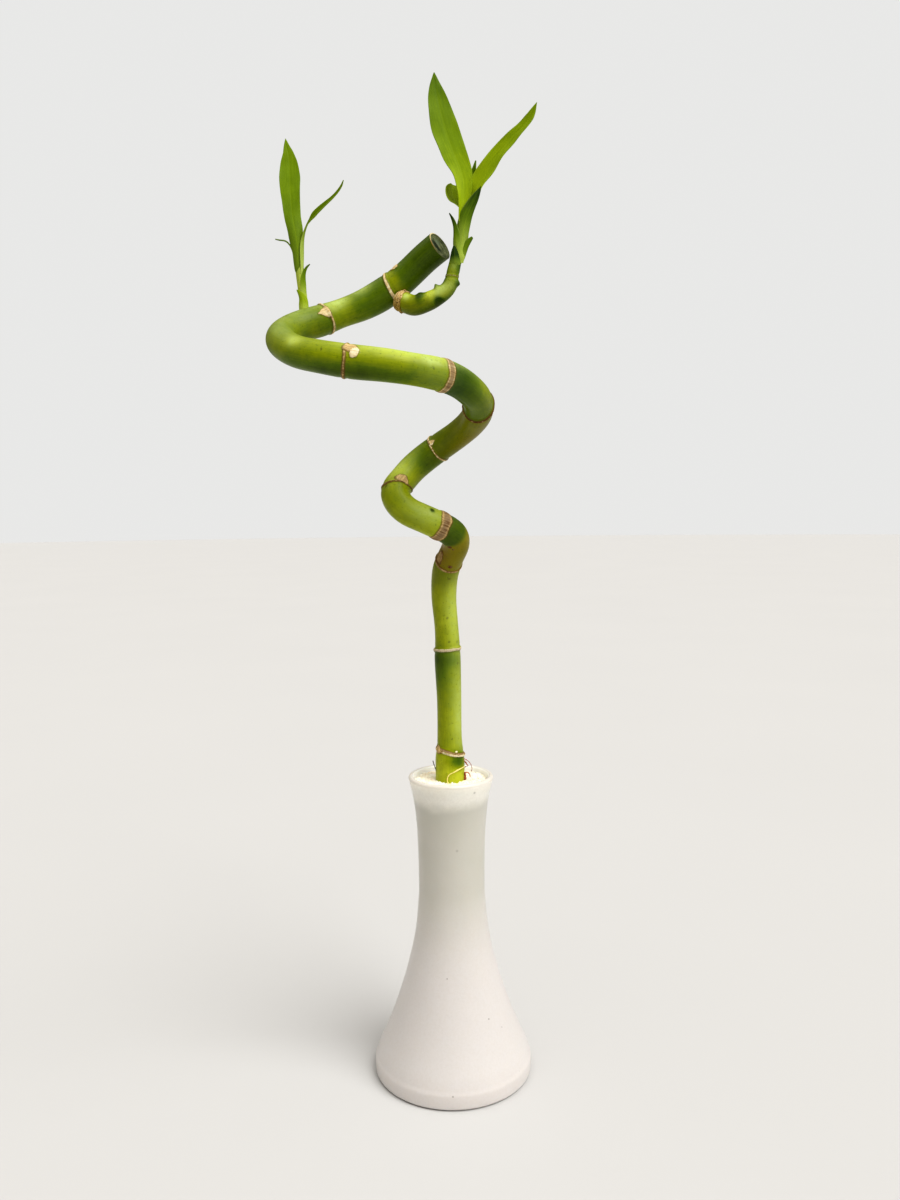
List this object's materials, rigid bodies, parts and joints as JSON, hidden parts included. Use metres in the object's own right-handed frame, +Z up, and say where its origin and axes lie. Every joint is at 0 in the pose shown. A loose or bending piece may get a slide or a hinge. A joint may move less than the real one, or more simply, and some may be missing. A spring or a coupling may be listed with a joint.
{
  "type": "potted plant",
  "caption": "Spiral-trained lucky bamboo cane with two leafy side shoots, standing in gravel in a trumpet-mouthed bud vase with a wide foot.",
  "frame": {"origin": "centre of the vase's flat foot, on the surface it stands on", "axes": "+Z up along the vase's axis; -Y towards the front, where the spiral's outer turns lie; +X to the right seen from the front"},
  "size_m": [0.1153, 0.12, 0.469],
  "materials": {
    "frosted_vase": "frosted, slightly see-through white",
    "gravel": "dry fine gravel",
    "cane": "waxy green skin with tan leaf scars",
    "leaf": "satin leaf",
    "dry_scale": "dry, flaking",
    "yellow_root": "smooth, fleshy",
    "brown_root": "fibrous",
    "grey_root": "fibrous"
  },
  "bodies": {
    "root": {"vase": "frosted_vase", "gravel": "gravel", "cane": "cane", "shoot_left": "leaf", "shoot_right": "leaf", "collar_right": "dry_scale", "root_front": "yellow_root", "root_tuft": "brown_root", "root_left": "grey_root"}
  },
  "joints": []
}
